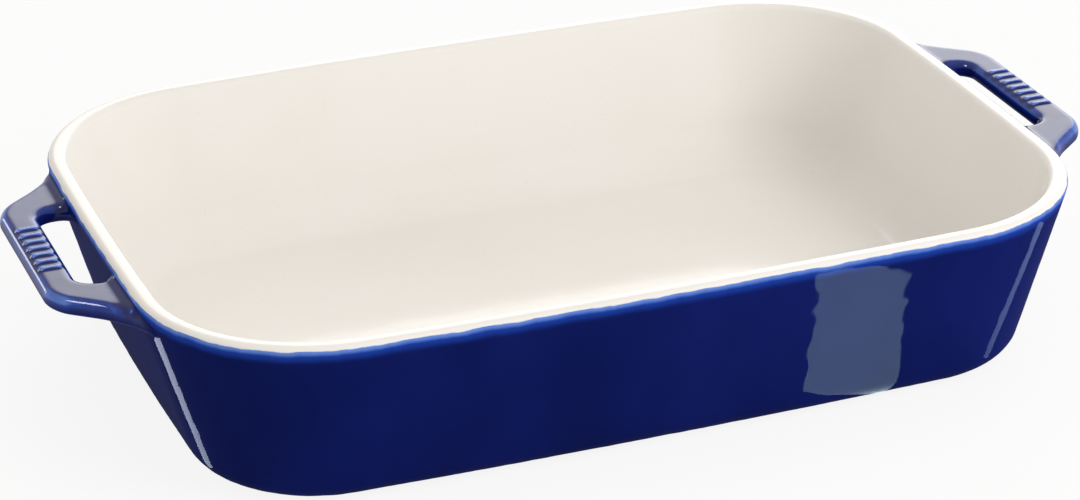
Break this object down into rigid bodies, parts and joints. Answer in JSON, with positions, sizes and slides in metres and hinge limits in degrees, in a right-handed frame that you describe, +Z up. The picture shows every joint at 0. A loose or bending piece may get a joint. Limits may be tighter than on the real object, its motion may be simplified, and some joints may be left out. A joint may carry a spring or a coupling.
{
  "type": "lasagna dish",
  "caption": "Rectangular stoneware oven dish with drafted walls, rounded corners, a rounded rim and a loop handle on each end wall.",
  "frame": {"origin": "middle of the base, on the surface that the dish stands on", "axes": "+X towards the right-hand handle, along the dish's length, +Y across its width, +Z up, out of the open top"},
  "size_m": [0.3886, 0.2398, 0.067],
  "materials": {
    "stoneware": "fired stoneware body",
    "bare_clay": "ground, unglazed stoneware",
    "ivory_glaze": "gloss ivory glaze",
    "blue_glaze": "gloss cobalt blue glaze, lighter where it thins on edges"
  },
  "bodies": {
    "root": {"stoneware_basin": "stoneware", "foot_ring": "bare_clay", "left_handle": "stoneware", "right_handle": "stoneware", "ivory_liner_glaze": "ivory_glaze", "blue_wall_glaze": "blue_glaze", "underside_glaze": "blue_glaze", "left_handle_glaze": "blue_glaze", "right_handle_glaze": "blue_glaze"}
  },
  "joints": []
}
